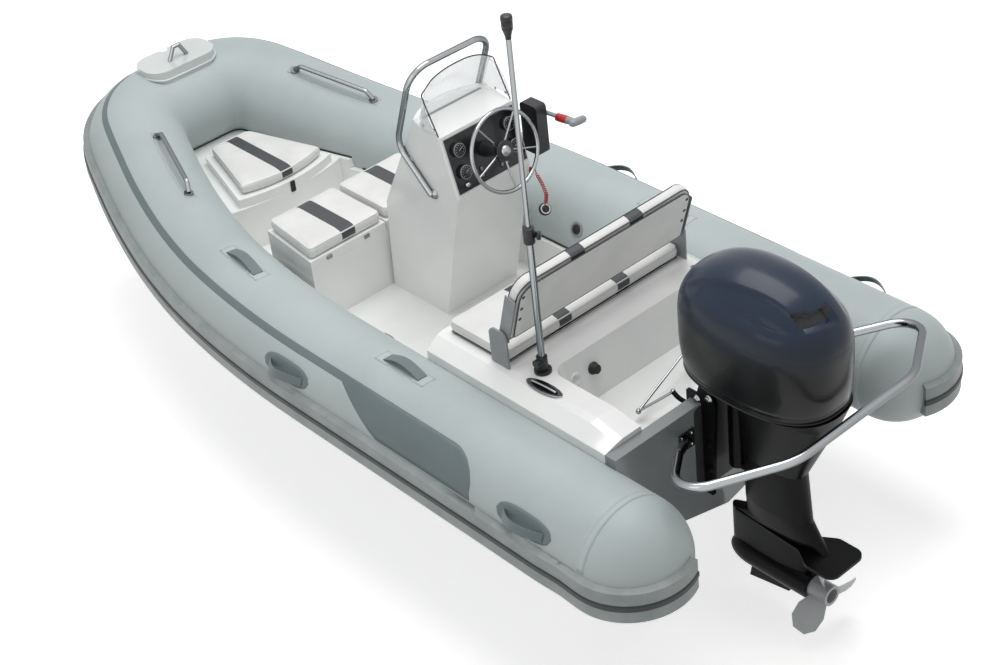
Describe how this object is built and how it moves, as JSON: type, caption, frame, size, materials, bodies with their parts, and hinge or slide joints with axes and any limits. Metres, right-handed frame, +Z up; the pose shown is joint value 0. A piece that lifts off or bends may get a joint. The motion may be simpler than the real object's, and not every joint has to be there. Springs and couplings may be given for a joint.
{
  "type": "rigid inflatable boat",
  "caption": "Rigid inflatable boat with inflated side tubes, a side console, padded seats, a light pole, a tow bar and a tilting outboard motor.",
  "frame": {"origin": "on the centreline at the waterline, halfway along the tubes", "axes": "+X to the bow, +Y to port, +Z up"},
  "size_m": [4.1503, 1.8764, 2.241],
  "materials": {
    "hypalon": "matte coated fabric",
    "strake": "satin",
    "strake_insert": "satin",
    "fabric_dark": "matte",
    "grp": "gloss gelcoat",
    "vinyl": "satin",
    "steel": "polished",
    "black_plastic": "satin",
    "dash": "gloss",
    "acrylic": "clear",
    "motor_paint": "gloss",
    "alloy": "satin",
    "grey_plastic": "satin",
    "instrument": "gloss",
    "propeller_paint": "satin"
  },
  "bodies": {
    "boat": {"tube_port": "hypalon", "tube_starboard": "hypalon", "tube_bow": "hypalon", "rub_strake": "strake", "rub_insert": "strake_insert", "hull": "grp", "transom": "grp", "aft_deck": "grp", "bow_locker": "grp", "bench_board": "grp", "bench_cushion": "vinyl", "bench_arms": "grey_plastic", "front_seat_box": "grp", "bow_step": "grp", "bow_eye": "steel", "console": "grp", "dash_panel": "dash", "gauges": "instrument", "windscreen": "acrylic", "console_rail": "steel", "steering_column": "black_plastic", "control_box": "black_plastic", "control_lever": "grey_plastic", "pole_base": "black_plastic", "pole_lower": "steel", "tow_bar": "steel", "clamp_bracket": "motor_paint", "bow_handles": "steel", "tube_straps": "fabric_dark", "flank_handles": "fabric_dark"},
    "bow_locker_lid": {"bow_lid": "grp", "bow_cushion": "vinyl"},
    "port_seat_lid": {"front_lid_port": "grp", "front_cushion_port": "vinyl"},
    "starboard_seat_lid": {"front_lid_starboard": "grp", "front_cushion_starboard": "vinyl"},
    "backrest": {"backrest_panel": "grp", "backrest_cushion": "vinyl", "backrest_frame": "grey_plastic"},
    "light_pole": {"pole_upper": "steel", "pole_lamp": "black_plastic"},
    "motor_swivel": {"swivel_bracket": "motor_paint"},
    "motor": {"cowl_cap": "motor_paint", "cowl_cover": "motor_paint", "powerhead": "alloy", "motor_leg": "motor_paint", "gearcase": "motor_paint"},
    "propeller_wheel": {"propeller": "propeller_paint"},
    "helm": {"steering_wheel": "steel"}
  },
  "joints": [
    {"name": "bow_locker_hinge", "type": "hinge", "parent": "boat", "child": "bow_locker_lid", "pos_m": [1.45677, 0, 0.2943], "axis": [0, 1, 0], "range_deg": [0, 85]},
    {"name": "port_seat_hinge", "type": "hinge", "parent": "boat", "child": "port_seat_lid", "pos_m": [0.66677, 0.19, 0.3433], "axis": [0, 1, 0], "range_deg": [0, 85]},
    {"name": "starboard_seat_hinge", "type": "hinge", "parent": "boat", "child": "starboard_seat_lid", "pos_m": [0.66677, -0.19, 0.3433], "axis": [0, 1, 0], "range_deg": [0, 85]},
    {"name": "backrest_fold", "type": "hinge", "parent": "boat", "child": "backrest", "pos_m": [-0.88623, 0, 0.578], "axis": [0, 1, 0], "range_deg": [0, 100]},
    {"name": "light_pole_slide", "type": "slide", "parent": "boat", "child": "light_pole", "axis": [0, 0, 1], "range_m": [-0.4, 0]},
    {"name": "motor_tilt", "type": "hinge", "parent": "boat", "child": "motor_swivel", "pos_m": [-1.55123, 0, 0.458], "axis": [0, 1, 0], "range_deg": [0, 60]},
    {"name": "motor_steer", "type": "hinge", "parent": "motor_swivel", "child": "motor", "pos_m": [-1.59123, 0, 0.3], "axis": [0, 0, 1], "range_deg": [-30, 30]},
    {"name": "propeller_spin", "type": "hinge", "parent": "motor", "child": "propeller_wheel", "pos_m": [-1.97823, 0, -0.27], "axis": [1, 0, 0], "continuous": true},
    {"name": "helm_turn", "type": "hinge", "parent": "boat", "child": "helm", "pos_m": [-0.25625, -0.182, 0.81142], "axis": [-0.9612, 0, 0.2758], "range_deg": [-540, 540]}
  ],
  "couplings": [
    {"joint": "helm_turn", "follows": "motor_steer", "ratio": 18}
  ]
}
